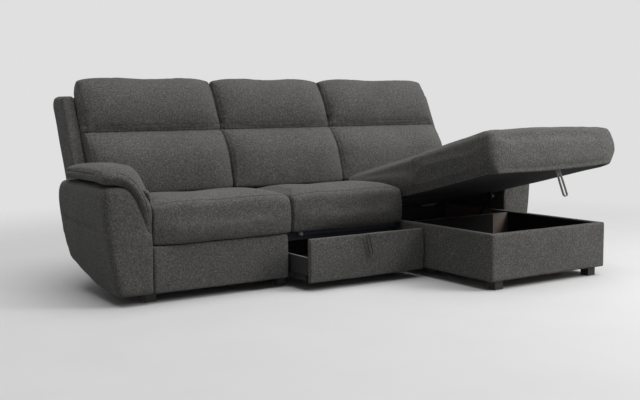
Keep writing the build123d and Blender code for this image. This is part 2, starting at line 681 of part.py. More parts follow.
COVER_REAR_D = HINGE_RAIL_D[1]
with BuildPart() as chaise_cover:
    slab((BOX_X0, X_RIGHT), (BOX_FRONT, COVER_REAR_D), (FOOT_H, RIM_Z))
    fillet(chaise_cover.edges().filter_by(Axis.Z).group_by(Axis.Y)[0], BOX_CORNER)
    fillet(chaise_cover.faces().sort_by(Axis.Z)[-1].edges().sort_by(Axis.Y)[:-1], RIM_CAP / 2)
    slab(WALL_X, (WALL_FRONT, COVER_REAR_D), (FOOT_H, WALL_TOP), Mode.SUBTRACT)
    slab(HOLD_X, (HOLD_FRONT, COVER_REAR_D), (WALL_TOP, RIM_Z), Mode.SUBTRACT)
    for bolt_d in BOLT_DEPTHS:
        rod_x(BOLT_R + PLAY, (WALL_X[1], X_RIGHT), bolt_d, BOLT_Z, Mode.SUBTRACT)
keep("chaise_cover", chaise_cover.part)

# Block feet
FOOT_PLACES = (
    (BOX_X0 + FOOT_IN_X + FOOT / 2, BOX_FRONT + FOOT_IN_D + FOOT / 2),
    (X_RIGHT - FOOT_IN_X - FOOT / 2, BOX_FRONT + FOOT_IN_D + FOOT / 2),
    (HOLD_X[0], BASE_REAR_D - FOOT / 2),
    (HOLD_X[1], BASE_REAR_D - FOOT / 2),
    (X_LEFT + BOARD / 2, FRONT_T + FOOT),
    (X_MID - BOARD / 2, FRONT_T + FOOT),
    (BAY_RIGHT, FRONT_T + FOOT),
    (X_LEFT + SEAT_W / 3, BASE_REAR_D),
    (X_MID - BOARD / 2, BASE_REAR_D - FOOT / 2),
)
with BuildPart() as block_feet:
    for x, d in FOOT_PLACES:
        slab((x - FOOT / 2, x + FOOT / 2), (d - FOOT / 2, d + FOOT / 2), (0.0, FOOT_H))
    chamfer(block_feet.edges().group_by(Axis.Z)[0], 3.0)
keep("block_feet", block_feet.part)


# Chaise lid, drawn shut and turned open about its hinge line
def keep_open(name, part):
    keep(name, part.rotate(HINGE_AXIS, -LID_ANGLE))


LID_BOARD_X = (LID_X[0] + LID_RIM, LID_X[1] - LID_RIM)
LID_BOARD_FRONT = LID_FRONT + LID_RIM
LID_BOARD_REAR = HINGE_D - LID_REAR
LID_LINING_REAR = HINGE_D - STRUT_HEAD - PLATE_W
with BuildPart() as lid_board:
    slab(LID_BOARD_X, (LID_BOARD_FRONT, LID_BOARD_REAR), (LID_BOARD_Z, LID_BOARD_Z + LID_BOARD))
keep_open("lid_board", lid_board.part)

with BuildPart() as lid_lining:
    slab(LID_BOARD_X, (LID_BOARD_FRONT, LID_LINING_REAR), (LID_Z, LID_BOARD_Z))
keep_open("lid_lining", lid_lining.part)

LID_TUCK = 16.0
LID_EDGE = 32.0
LID_LEFT_BULGE = 24.0  # how far the front part swells past the box
LID_RIGHT_BULGE = 70.0
LID_FOOT_BULGE = 0.25  # share of the swell at the lid's lower edge
LID_CORNER_IN = 5.0
LID_FULL_END = 600.0  # behind the lid's front edge, where the swell starts to draw in
LID_LEFT_END = 650.0
LID_RIGHT_END = 712.0
LID_REAR_TUCK = 0.8
LID_REAR_ROUND = 30.0

# Sections of the lid cushion: distance behind its front edge, tuck, and share of the swell on each side
LID_SECTIONS = (
    (0.0, 1.0, 0.4, 0.4),
    (6.0, 0.55, 0.7, 0.7),
    (18.0, 0.2, 0.9, 0.9),
    (44.0, 0.0, 1.0, 1.0),
    (LID_FULL_END, 0.0, 1.0, 1.0),
    (LID_LEFT_END, 0.0, 0.0, 1.0),
    (LID_RIGHT_END, 0.0, 0.0, 0.0),
    (LID_L - LID_REAR - LID_REAR_ROUND, 0.0, 0.0, 0.0),
    (LID_L - LID_REAR, LID_REAR_TUCK, 0.0, 0.0),
)


def lid_section(tuck, left, right):
    x = (LID_X[0] + LID_TUCK * tuck, LID_X[1] - LID_TUCK * tuck)
    swell = (LID_LEFT_BULGE * left, LID_RIGHT_BULGE * right)
    foot = (x[0] - swell[0] * LID_FOOT_BULGE, x[1] + swell[1] * LID_FOOT_BULGE)
    side = (x[0] - swell[0], x[1] + swell[1])
    corner = (side[0] + LID_CORNER_IN, side[1] - LID_CORNER_IN)
    top = LID_Z + LID_T - LID_TUCK * tuck
    middle = LID_Z + LID_T / 2
    turn = LID_EDGE * (1 - math.sqrt(0.5))
    outline(
        (foot[1], LID_Z),
        ((side[1], middle), (corner[1], top - LID_EDGE)),
        ((corner[1] - turn, top - turn), (corner[1] - LID_EDGE, top)),
        ((sum(x) / 2, top + LID_CROWN), (corner[0] + LID_EDGE, top)),
        ((corner[0] + turn, top - turn), (corner[0], top - LID_EDGE)),
        ((side[0], middle), (foot[0], LID_Z)),
    )


with BuildPart() as chaise_cushion:
    for behind, tuck, left, right in LID_SECTIONS:
        with BuildSketch(front_plane(LID_FRONT + behind)):
            lid_section(tuck, left, right)
    loft(ruled=True)
    slab(
        LID_BOARD_X,
        (LID_BOARD_FRONT, LID_BOARD_REAR + 1.0),
        (LID_Z - 1.0, LID_BOARD_Z + LID_BOARD),
        Mode.SUBTRACT,
    )
keep_open("chaise_cushion", chaise_cushion.part)


def loop_band(x, half, top, length, front, width):
    """A tape folded to a narrow loop that hangs from its two ends."""
    low = top - length + half
    inner = half - TAPE_T
    with BuildSketch(front_plane(front)) as band:
        with Locations((x, (top + low) / 2)):
            Rectangle(2 * half, top - low)
        with Locations((x, low)):
            Circle(half)
            Circle(inner, mode=Mode.SUBTRACT)
        with Locations((x, (top + low) / 2)):
            Rectangle(2 * inner, top - low, mode=Mode.SUBTRACT)
    extrude(band.sketch, amount=-width)


with BuildPart() as lid_pull_loop:
    loop_x = sum(LID_X) / 2 + LID_LOOP_SIDE
    loop_band(loop_x, LID_LOOP_HALF, LID_Z, LID_LOOP_L, LID_FRONT + LID_LOOP_IN, LID_TAPE_W)
keep_open("lid_pull_loop", lid_pull_loop.part)

# Hinges of the lid: two leaves each and a pin
KNUCKLE = HINGE_L / 3
KNUCKLE_GAP = 0.5


def hinge_leaf(x, spans, d, z_leaf):
    """A flat leaf with its knuckles, bored for the pin."""
    slab((x - HINGE_L / 2, x + HINGE_L / 2), d, z_leaf)
    for begin, end in spans:
        rod_x(KNUCKLE_R, (x + begin, x + end), HINGE_D, HINGE_Z)
        reach = (HINGE_D, d[0]) if d[0] > HINGE_D else (d[1], HINGE_D)
        slab((x + begin, x + end), reach, z_leaf)
        rod_x(PIN_R + PLAY, (x + begin, x + end), HINGE_D, HINGE_Z, Mode.SUBTRACT)


LEAF_Z = (HINGE_Z - HINGE_LEAF / 2, HINGE_Z + HINGE_LEAF / 2)
BASE_SPANS = ((-HINGE_L / 2, -KNUCKLE / 2 - KNUCKLE_GAP), (KNUCKLE / 2 + KNUCKLE_GAP, HINGE_L / 2))
LID_SPANS = ((-KNUCKLE / 2, KNUCKLE / 2),)
with BuildPart() as hinge_base_leaves:
    for x in HINGE_XS:
        hinge_leaf(x, BASE_SPANS, (HINGE_D + KNUCKLE_ROOM, HINGE_D + HINGE_REACH), LEAF_Z)
keep("hinge_base_leaves", hinge_base_leaves.part)

with BuildPart() as hinge_lid_leaves:
    for x in HINGE_XS:
        hinge_leaf(x, LID_SPANS, (HINGE_D - HINGE_REACH, HINGE_D - KNUCKLE_ROOM), LEAF_Z)
keep_open("hinge_lid_leaves", hinge_lid_leaves.part)

with BuildPart() as hinge_pins:
    for x in HINGE_XS:
        rod_x(PIN_R, (x - HINGE_L / 2, x + HINGE_L / 2), HINGE_D, HINGE_Z)
keep("hinge_pins", hinge_pins.part)

# Gas struts: cylinder on a stud of the box wall, rod on a stud of the lid
STRUT_HEAD_D = HINGE_D - STRUT_HEAD * LID_COS - STRUT_DROP * LID_SIN
STRUT_HEAD_Z = HINGE_Z + STRUT_HEAD * LID_SIN - STRUT_DROP * LID_COS
STRUT_RUN = STRUT_HEAD_D - STRUT_FOOT_D
STRUT_RISE = STRUT_HEAD_Z - STRUT_FOOT_Z
STRUT_L = math.hypot(STRUT_RUN, STRUT_RISE)
STRUT_UP = (STRUT_RUN / STRUT_L, STRUT_RISE / STRUT_L)


def strut_plane(x, along):
    """A plane square to a strut, some way up from its foot."""
    origin = (x, FRONT + STRUT_FOOT_D + along * STRUT_UP[0], STRUT_FOOT_Z + along * STRUT_UP[1])
    return Plane(origin=origin, x_dir=(1, 0, 0), z_dir=(0, STRUT_UP[0], STRUT_UP[1]))


def strut_rod(x, radius, begin, end, mode=Mode.ADD):
    with BuildSketch(strut_plane(x, begin)) as round_face:
        Circle(radius)
    extrude(round_face.sketch, amount=end - begin, mode=mode)


def strut_eye(x, d, z, bore):
    rod_x(EYE_R, (x - EYE_T / 2, x + EYE_T / 2), d, z)
    rod_x(bore, (x - EYE_T / 2, x + EYE_T / 2), d, z, Mode.SUBTRACT)


with BuildPart() as strut_cylinders:
    for x in STRUT_XS:
        strut_rod(x, STRUT_BODY_R, EYE_R - EYE_BITE, STRUT_BODY_L)
        strut_rod(x, PIN_R + PLAY, STRUT_BODY_L - STRUT_BORE_L, STRUT_BODY_L, Mode.SUBTRACT)
        strut_eye(x, STRUT_FOOT_D, STRUT_FOOT_Z, PIN_R + PLAY)
keep("strut_cylinders", strut_cylinders.part)

with BuildPart() as strut_rods:
    for x in STRUT_XS:
        strut_rod(x, PIN_R, STRUT_BODY_L - ROD_INSIDE, STRUT_L - EYE_R + EYE_BITE)
        strut_eye(x, STRUT_HEAD_D, STRUT_HEAD_Z, PIN_R + OPEN_PIVOT_PLAY)
keep("strut_rods", strut_rods.part)

STUD_TIP = EYE_T / 2 + 2.0
with BuildPart() as strut_foot_studs:
    for x, wall, inward in zip(STRUT_XS, HOLD_X, (1, -1)):
        half = PLATE_W / 2
        slab(
            (wall, wall + inward * PLATE),
            (STRUT_FOOT_D - half, STRUT_FOOT_D + half),
            (STRUT_FOOT_Z - half, STRUT_FOOT_Z + half),
        )
        rod_x(PIN_R, (wall, x + inward * STUD_TIP), STRUT_FOOT_D, STRUT_FOOT_Z)
keep("strut_foot_studs", strut_foot_studs.part)

STUD_D = HINGE_D - STRUT_HEAD
STUD_Z = HINGE_Z - STRUT_DROP
TAB_DROP = 10.0
with BuildPart() as strut_lid_studs:
    for x, inward in zip(STRUT_XS, (1, -1)):
        tab = x + inward * (EYE_R + 2.0)
        slab(
            (tab, tab + inward * PLATE),
            (STUD_D - PLATE_W / 2, STUD_D + PLATE_W / 2),
            (STUD_Z - TAB_DROP, LID_BOARD_Z),
        )
        rod_x(PIN_R, (x - inward * STUD_TIP, tab + inward * PLATE), STUD_D, STUD_Z)
keep_open("strut_lid_studs", strut_lid_studs.part)

# Drawer box
DRAWER_REAR = DRAWER_BACK + DRAWER_L
INSIDE_X = (SIDE_X[0] + DRAWER_BOARD, SIDE_X[1] - DRAWER_BOARD)
DRAWER_FLOOR_Z = DRAWER_SIDE_Z + DRAWER_FLOOR
with BuildPart() as drawer_left_side:
    slab((SIDE_X[0], INSIDE_X[0]), (DRAWER_BACK, DRAWER_REAR), (DRAWER_SIDE_Z, SIDE_TOP))
keep("drawer_left_side", drawer_left_side.part)

with BuildPart() as drawer_right_side:
    slab((INSIDE_X[1], SIDE_X[1]), (DRAWER_BACK, DRAWER_REAR), (DRAWER_SIDE_Z, SIDE_TOP))
keep("drawer_right_side", drawer_right_side.part)

with BuildPart() as drawer_bottom:
    slab(INSIDE_X, (DRAWER_BACK, DRAWER_REAR), (DRAWER_SIDE_Z, DRAWER_FLOOR_Z))
keep("drawer_bottom", drawer_bottom.part)

with BuildPart() as drawer_rear:
    slab(INSIDE_X, (DRAWER_REAR - DRAWER_BOARD, DRAWER_REAR), (DRAWER_FLOOR_Z, SIDE_TOP))
keep("drawer_rear", drawer_rear.part)

DRAWER_LOOP_TOP = DRAWER_TOP - FRONT_SWELL / 2
with BuildPart() as drawer_pull_loop:
    loop_front = DRAWER_FRONT - DRAWER_TAPE_W - SEATING
    loop_x = sum(DRAWER_X) / 2
    loop_band(loop_x, DRAWER_LOOP_HALF, DRAWER_LOOP_TOP, DRAWER_LOOP_L, loop_front, DRAWER_TAPE_W)
keep("drawer_pull_loop", drawer_pull_loop.part)

# Telescopic runners under the drawer's sides: fixed, middle and drawer members
RUNNER_Z = (DRAWER_SIDE_Z - SHEET - RUNNER_H - 1.0, DRAWER_SIDE_Z - SHEET - 1.0)
BALL_ROOM = 0.3
CHANNEL_DEPTH = RUNNER_W - 2 * SHEET - BALL_ROOM
RUNNER_WALLS = ((X_MID, 1), (BAY_RIGHT, -1))
RUNNER_D = (RUNNER_START, RUNNER_START + RUNNER_L)


def channel(wall, inward, out, shift, inset, depth):
    """A steel channel lying on its side, open towards the drawer."""
    near = wall + inward * out
    far = near + inward * depth
    d = (RUNNER_D[0] - shift, RUNNER_D[1] - shift)
    low, high = RUNNER_Z[0] + inset, RUNNER_Z[1] - inset
    slab((near, near + inward * SHEET), d, (low, high))
    slab((near, far), d, (low, low + SHEET))
    slab((near, far), d, (high - SHEET, high))


with BuildPart() as runner_fixed_rails:
    for wall, inward in RUNNER_WALLS:
        channel(wall, inward, 0.0, 0.0, 0.0, CHANNEL_DEPTH)
keep("runner_fixed_rails", runner_fixed_rails.part)

MIDDLE_OUT = SHEET + BALL_ROOM
with BuildPart() as runner_middle_rails:
    for wall, inward in RUNNER_WALLS:
        channel(wall, inward, MIDDLE_OUT, DRAWER_OUT / 2, MIDDLE_OUT, CHANNEL_DEPTH - MIDDLE_OUT)
keep("runner_middle_rails", runner_middle_rails.part)

INNER_Z = (RUNNER_Z[0] + 2 * MIDDLE_OUT, RUNNER_Z[1] - 2 * MIDDLE_OUT)
with BuildPart() as runner_drawer_rails:
    for wall, inward in RUNNER_WALLS:
        d = (RUNNER_D[0] - DRAWER_OUT, RUNNER_D[1] - DRAWER_OUT)
        web = wall + inward * (RUNNER_W - SHEET)
        slab((web, web + inward * SHEET), d, (INNER_Z[0], DRAWER_SIDE_Z))
        slab((wall + inward * 2 * MIDDLE_OUT, web), d, INNER_Z)
        ledge = web + inward * (SHEET + DRAWER_BOARD)
        slab((web, ledge), d, (DRAWER_SIDE_Z - SHEET, DRAWER_SIDE_Z))
keep("runner_drawer_rails", runner_drawer_rails.part)

os.makedirs("parts", exist_ok=True)
for name, part in pieces.items():
    export_step(part, f"parts/{name}.step")
print(f"{len(pieces)} pieces, seats' front plane at y = {FRONT:.2f}")
print(f"lid hinge line y = {FRONT + HINGE_D:.2f}, z = {HINGE_Z:.2f}")
print(f"strut foot y = {FRONT + STRUT_FOOT_D:.2f}, z = {STRUT_FOOT_Z:.2f}, along {STRUT_UP}")
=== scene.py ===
"""Chaise sofa in dark grey melange cloth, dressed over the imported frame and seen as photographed.

Metres, in the part's own frame: the seats face -Y, the chaise is at +X and the floor is z = 0.
"""
import math

import bmesh
import bpy
import numpy as np
from mathutils import Matrix, Vector, kdtree, noise
from mathutils.bvhtree import BVHTree


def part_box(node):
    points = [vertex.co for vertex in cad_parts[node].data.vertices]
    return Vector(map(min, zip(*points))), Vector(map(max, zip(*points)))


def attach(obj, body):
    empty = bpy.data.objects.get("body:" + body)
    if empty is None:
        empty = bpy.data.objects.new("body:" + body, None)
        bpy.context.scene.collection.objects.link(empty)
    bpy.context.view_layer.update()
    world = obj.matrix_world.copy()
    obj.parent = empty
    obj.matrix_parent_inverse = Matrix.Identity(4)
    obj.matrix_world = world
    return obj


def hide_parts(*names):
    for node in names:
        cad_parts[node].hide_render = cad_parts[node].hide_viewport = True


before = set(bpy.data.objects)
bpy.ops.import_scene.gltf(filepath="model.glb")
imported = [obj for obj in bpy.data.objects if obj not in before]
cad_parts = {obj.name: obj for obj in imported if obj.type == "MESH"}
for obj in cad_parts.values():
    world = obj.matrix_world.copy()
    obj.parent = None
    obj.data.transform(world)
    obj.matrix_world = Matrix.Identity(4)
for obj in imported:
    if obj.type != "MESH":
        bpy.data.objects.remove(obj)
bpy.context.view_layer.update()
scene = bpy.context.scene
scene.view_settings.view_transform = "Standard"
MM = 0.001

# Camera, fitted to the photograph's straight edges and placed from the seats' front plane
SEAT_FRONT_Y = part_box("front_panel_left")[0].y
CAMERA_AT = Vector((-2.681, SEAT_FRONT_Y - 3.849, 0.874))
CAMERA_YAW = math.radians(32.7285)  # right of +Y
CAMERA_PITCH = math.radians(5.7459)  # down
CAMERA_ROLL = math.radians(-0.5978)
CAMERA_LENS = 52.595
CAMERA_SENSOR = 36.0

# The lid stands open about this line
pin_low, pin_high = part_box("hinge_pins")
LID_LINE = (pin_low + pin_high) / 2
LID_OPEN = math.radians(13.5)

# Cloth
VOXEL = 0.009
SKIN_GROW = 0.0012
CLOTH_FRAMES = 16
CLOTH_QUALITY = 3
CLOTH_PRESSURE = 4.0
CLOTH_STIFFNESS = 12.0
CLOTH_BENDING = 1.5
TRACE_STEP = 0.006  # seams are looked for at this spacing, from this far off the skin
TRACE_OFF = 0.5
GROOVE_REACH = 4  # beyond this many widths a groove is too shallow to count
PUCKER_REACH = 0.04
PUCKER_SCALE = 38.0
PUCKER_FINE_SCALE = 90.0


class Value:
    """A shader socket that can be used in sums: each operator adds a Math node."""

    def __init__(self, owner, socket):
        self.owner = owner
        self.socket = socket

    def maths(self, operation, first, second):
        return self.owner.add("ShaderNodeMath", {"operation": operation}, {0: first, 1: second})

    def __add__(self, other):
        return self.maths("ADD", self, other)

    def __radd__(self, other):
        return self.maths("ADD", other, self)

    def __sub__(self, other):
        return self.maths("SUBTRACT", self, other)

    def __rsub__(self, other):
        return self.maths("SUBTRACT", other, self)

    def __mul__(self, other):
        return self.maths("MULTIPLY", self, other)

    def __rmul__(self, other):
        return self.maths("MULTIPLY", other, self)

    def __gt__(self, other):
        return self.maths("GREATER_THAN", self, other)


class Nodes:
    """The nodes of a material or of the world, added one by one to its own shader."""

    def __init__(self, holder, shader):
        holder.use_nodes = True
        self.holder = holder
        self.tree = holder.node_tree
        self.shader = self.tree.nodes[shader]

    def add(self, kind, settings=None, inputs=None, output=0):
        node = self.tree.nodes.new(kind)
        for key, setting in (settings or {}).items():
            if key == "stops":
                self.set_stops(node.color_ramp, setting)
            else:
                setattr(node, key, setting)
        for key, value in (inputs or {}).items():
            self.feed(node.inputs[key], value)
        return Value(self, node.outputs[output])

    def set_stops(self, ramp, stops):
        while len(ramp.elements) < len(stops):
            ramp.elements.new(0.5)
        for element, (place, colour) in zip(ramp.elements, stops):
            element.position = place
            element.color = (*colour, 1.0)

    def feed(self, socket, value):
        if isinstance(value, Value):
            self.tree.links.new(value.socket, socket)
        else:
            socket.default_value = value

    def dress(self, **sockets):
        for name, value in sockets.items():
            self.feed(self.shader.inputs[name.replace("_", " ")], value)
        return self.holder

    def own_shader(self):
        return Value(self, self.shader.outputs[0])

    def seen_rays(self):
        """1 on rays from the camera, and on those that a glossy or clear surface sends on."""
        rays = ("Is Camera Ray", "Is Glossy Ray", "Is Transmission Ray")
        camera, glossy, clear = (self.add("ShaderNodeLightPath", output=ray) for ray in rays)
        return camera + glossy + clear

    def show(self, surface):
        """Put another shader in the place of the own one."""
        last = next(node for node in self.tree.nodes if "Surface" in node.inputs)
        self.feed(last.inputs["Surface"], surface)


class Finish(Nodes):
    """A material, with the patterns that its looks are made of."""

    def __init__(self, name):
        super().__init__(bpy.data.materials.new(name), "Principled BSDF")

    def place(self, scale=(1.0, 1.0, 1.0)):
        spot = self.add("ShaderNodeTexCoord", output="Object")
        return self.add("ShaderNodeMapping", inputs={"Vector": spot, "Scale": scale})

    def noise(self, scale, detail=2.0, stretch=(1.0, 1.0, 1.0), roughness=0.6):
        inputs = {
            "Vector": self.place(stretch), "Scale": scale, "Detail": detail, "Roughness": roughness,
        }
        return self.add("ShaderNodeTexNoise", inputs=inputs)

    def ramp(self, factor, *stops):
        return self.add("ShaderNodeValToRGB", {"stops": stops}, {"Fac": factor})

    def bump(self, height, strength, distance):
        inputs = {"Height": height, "Strength": strength, "Distance": distance}
        return self.add("ShaderNodeBump", inputs=inputs)


def grey(level):
    """A slightly warm grey."""
    return (level * 1.03, level * 1.005, level * 0.965)


def melange_cloth():
    """Salt-and-pepper upholstery: crossed yarns of two greys with slubs and slow shade changes."""
    cloth = Finish("melange_cloth")
    weft = cloth.noise(1.0, 2.0, (130.0, 430.0, 430.0))
    warp = cloth.noise(1.0, 2.0, (430.0, 130.0, 130.0))
    fleck = cloth.noise(260.0, 3.0)
    clump = cloth.noise(105.0, 2.0)
    shade = cloth.noise(5.0, 2.0)
    tone = (weft + warp) * 0.38 + fleck * 0.30 + clump * 0.20 + shade * 0.06 - 0.16
    colour = cloth.ramp(
        tone,
        (0.34, grey(0.034)),
        (0.47, grey(0.086)),
        (0.54, grey(0.122)),
        (0.66, grey(0.265)),
    )
    relief = weft + warp + fleck * 0.6
    return cloth.dress(
        Base_Color=colour,
        Roughness=0.86 + fleck * 0.12,
        Normal=cloth.bump(relief, 0.55, 0.0016),
        Sheen_Weight=0.08,
        Sheen_Roughness=0.55,
        Specular_IOR_Level=0.25,
    )


def felt(name, dark, light):
    """Spun lining cloth."""
    lining = Finish(name)
    fibre = lining.noise(520.0, 4.0)
    patch = lining.noise(9.0, 2.0)
    tone = fibre * 0.7 + patch * 0.3
    return lining.dress(
        Base_Color=lining.ramp(tone, (0.35, dark), (0.65, light)),
        Roughness=0.9 + patch * 0.08,
        Normal=lining.bump(fibre, 0.35, 0.0008),
        Specular_IOR_Level=0.2,
    )


def woven_tape(name, dark, light):
    """Narrow webbing with a fine rib across it."""
    tape = Finish(name)
    rib = tape.noise(1.0, 1.0, (260.0, 260.0, 1500.0))
    twist = tape.noise(700.0, 2.0)
    return tape.dress(
        Base_Color=tape.ramp(rib * 0.6 + twist * 0.4, (0.36, dark), (0.64, light)),
        Roughness=0.62 + twist * 0.2,
        Normal=tape.bump(rib + twist, 0.6, 0.0007),
        Sheen_Weight=0.15,
    )


def timber(name, dark, light):
    """Sawn softwood: long grain lines along X with pores and knots of shade."""
    wood = Finish(name)
    grain = wood.noise(1.0, 4.0, (3.0, 85.0, 85.0))
    pore = wood.noise(1.0, 2.0, (26.0, 640.0, 640.0))
    shade = wood.noise(2.2, 2.0)
    tone = grain * 0.55 + pore * 0.2 + shade * 0.25
    return wood.dress(
        Base_Color=wood.ramp(tone, (0.36, dark), (0.64, light)),
        Roughness=0.62 + pore * 0.25,
        Normal=wood.bump(grain + pore, 0.25, 0.0008),
    )


def particle_board(name, dark, light):
    """Bare pressed board: pale chips in a warm ground."""
    board = Finish(name)
    spread = {"Vector": board.place(), "Scale": 240.0}
    chips = board.add("ShaderNodeTexVoronoi", inputs=spread, output="Distance")
    dust = board.noise(330.0, 3.0)
    shade = board.noise(4.0, 2.0)
    tone = chips * 0.4 + dust * 0.4 + shade * 0.3
    return board.dress(
        Base_Color=board.ramp(tone, (0.28, dark), (0.66, light)),
        Roughness=0.78 + dust * 0.15,
        Normal=board.bump(chips + dust, 0.2, 0.0006),
    )


def foil_board(name):
    """Dark foiled drawer board whose raw top edge is pale."""
    board = Finish(name)
    normal = board.add("ShaderNodeNewGeometry", output="Normal")
    up = board.add("ShaderNodeSeparateXYZ", inputs={0: normal}, output="Z")
    streak = board.noise(1.0, 3.0, (240.0, 9.0, 240.0))
    dust = board.noise(420.0, 3.0)
    tone = streak * 0.7 + dust * 0.3
    foil = board.ramp(tone, (0.35, (0.020, 0.019, 0.021)), (0.65, (0.042, 0.040, 0.041)))
    edge = board.ramp(dust, (0.35, (0.16, 0.145, 0.13)), (0.65, (0.30, 0.28, 0.25)))
    both = {"Factor": up > 0.7, 6: foil, 7: edge}
    return board.dress(
        Base_Color=board.add("ShaderNodeMix", {"data_type": "RGBA"}, both, output=2),
        Roughness=0.45 + dust * 0.2,
        Normal=board.bump(streak, 0.1, 0.0004),
    )


def moulded(name, dark, light, gloss):
    """Moulded plastic or paint with a fine leathery skin and handling marks."""
    plastic = Finish(name)
    pits = plastic.noise(900.0, 2.0)
    rub = plastic.noise(28.0, 3.0)
    return plastic.dress(
        Base_Color=plastic.ramp(rub * 0.7 + pits * 0.3, (0.35, dark), (0.68, light)),
        Roughness=gloss + rub * 0.22,
        Normal=plastic.bump(pits, 0.18, 0.0004),
    )


def plated(name, dark, light, gloss):
    """Plated or drawn steel with fine draw lines."""
    steel = Finish(name)
    lines = steel.noise(1.0, 3.0, (1400.0, 60.0, 60.0))
    cloud = steel.noise(38.0, 3.0)
    return steel.dress(
        Base_Color=steel.ramp(lines * 0.4 + cloud * 0.6, (0.35, dark), (0.65, light)),
        Metallic=1.0,
        Roughness=gloss + cloud * 0.2,
        Normal=steel.bump(lines, 0.08, 0.0003),
    )


CLOTH = melange_cloth()
THREAD = felt("seam_thread", grey(0.012), grey(0.040))
LINING = felt("black_lining_cloth", (0.010, 0.010, 0.011), (0.022, 0.022, 0.023))
TAPE = woven_tape("pull_tape", grey(0.36), grey(0.62))
DARK_TAPE = woven_tape("dark_pull_tape", grey(0.05), grey(0.13))
WEBBING = woven_tape("strap_webbing_cloth", grey(0.02), grey(0.06))
TIMBER = timber("sawn_timber", (0.045, 0.032, 0.022), (0.10, 0.075, 0.054))
# Painted shade: timber in the hollows under the seats, in the drawer bay and under the lid, made nearly black
# for the shade that falls there
SHADE_BLACKENED_TIMBER = timber("timber_blackened_as_painted_shade", (0.007, 0.007, 0.009), (0.018, 0.018, 0.022))
BOARD = particle_board("bare_board", (0.13, 0.105, 0.092), (0.27, 0.225, 0.20))
DRAWER_BOARD = foil_board("drawer_foil_board")
FOOT_PLASTIC = moulded("foot_plastic", (0.010, 0.010, 0.010), (0.022, 0.022, 0.022), 0.45)
CAP_PLASTIC = moulded("cap_plastic", (0.48, 0.47, 0.58), (0.66, 0.65, 0.76), 0.35)
BAR_PAINT = moulded("bar_paint", (0.012, 0.015, 0.050), (0.022, 0.027, 0.080), 0.4)
WIRE = plated("spring_wire", (0.24, 0.24, 0.25), (0.42, 0.42, 0.43), 0.3)
ZINC = plated("zinc_plate", (0.48, 0.49, 0.50), (0.66, 0.67, 0.69), 0.28)
# Black paint of the strut cylinders and the runner rails; on the strut studs this black is painted shade, so
# that they show no glint under the lid
STRUT_BLACK_AND_SHADE = moulded("strut_black_paint_and_painted_shade", (0.010, 0.010, 0.011), (0.026, 0.026, 0.028), 0.3)
# Painted shade: the strut rods are made dark, so that they show no glint in the shaded space under the lid
STRUT_ROD_SHADE_DARK = plated("strut_rod_darkened_as_painted_shade", (0.035, 0.035, 0.038), (0.07, 0.07, 0.075), 0.25)

NODE_FINISH = {
    LINING: ("dust_cover", "chaise_lining", "lid_lining"),
    WEBBING: ("back_straps",),
    TIMBER: (
        "seat_rear_rails", "left_arm_board", "right_arm_board", "back_posts", "back_top_rail",
        "back_lower_rail",
    ),
    # boards in the hollows, nearly black as painted shade
    SHADE_BLACKENED_TIMBER: (
        "left_base_board", "bay_divider", "right_base_board", "rear_base_board", "seat_front_rails",
        "lid_board", "hinge_rail", "chaise_rear_board",
    ),
    BOARD: (
        "chaise_left_board", "chaise_right_board", "chaise_front_board", "chaise_floor_board",
        "chaise_cross_board",
    ),
    DRAWER_BOARD: ("drawer_left_side", "drawer_right_side", "drawer_bottom", "drawer_rear"),
    FOOT_PLASTIC: ("block_feet",),
    CAP_PLASTIC: ("bar_end_cap",),
    BAR_PAINT: ("drawer_bay_bar",),
    WIRE: ("seat_springs",),
    ZINC: ("arm_bolts", "hinge_base_leaves", "hinge_lid_leaves", "hinge_pins"),
    STRUT_BLACK_AND_SHADE: (
        # the studs are dark as painted shade; the cylinders and runners are painted black
        "strut_cylinders", "strut_foot_studs", "strut_lid_studs", "runner_fixed_rails",
        "runner_middle_rails", "runner_drawer_rails",
    ),
    # strut rods, dark as painted shade
    STRUT_ROD_SHADE_DARK: ("strut_rods",),
}


def paint(mesh, material):
    mesh.materials.clear()
    mesh.materials.append(material)


for material, names in NODE_FINISH.items():
    for name in names:
        paint(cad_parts[name].data, material)


# Mesh helpers
def add_piece(name, data):
    piece = bpy.data.objects.new(name, data)
    scene.collection.objects.link(piece)
    return piece


def share(values, start, full):
    """0 at start and 1 at full, straight between them and level beyond."""
    return np.clip((values - start) / (full - start), 0.0, 1.0)


def turned_box(node, turn):
    """The low and high corners of a solid after a turn."""
    corners = np.array([turn @ corner.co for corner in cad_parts[node].data.vertices])
    return corners.min(axis=0), corners.max(axis=0)


def points_of(piece):
    spots = np.empty(len(piece.data.vertices) * 3)
    piece.data.vertices.foreach_get("co", spots)
    return spots.reshape(-1, 3)


def normals_of(piece):
    spots = np.empty(len(piece.data.vertices) * 3)
    piece.data.vertices.foreach_get("normal", spots)
    return spots.reshape(-1, 3)


def move_points(piece, spots):
    piece.data.vertices.foreach_set("co", np.ascontiguousarray(spots).ravel())
    piece.data.update()


def apply_modifiers(piece):
    """Replace the mesh by what its modifiers make of it."""
    graph = bpy.context.evaluated_depsgraph_get()
    made = bpy.data.meshes.new_from_object(piece.evaluated_get(graph))
    piece.modifiers.clear()
    piece.data = made


def modify(piece, kind, **settings):
    """Add one modifier and apply it."""
    modifier = piece.modifiers.new(kind.lower(), kind)
    for key, value in settings.items():
        setattr(modifier, key, value)
    apply_modifiers(piece)


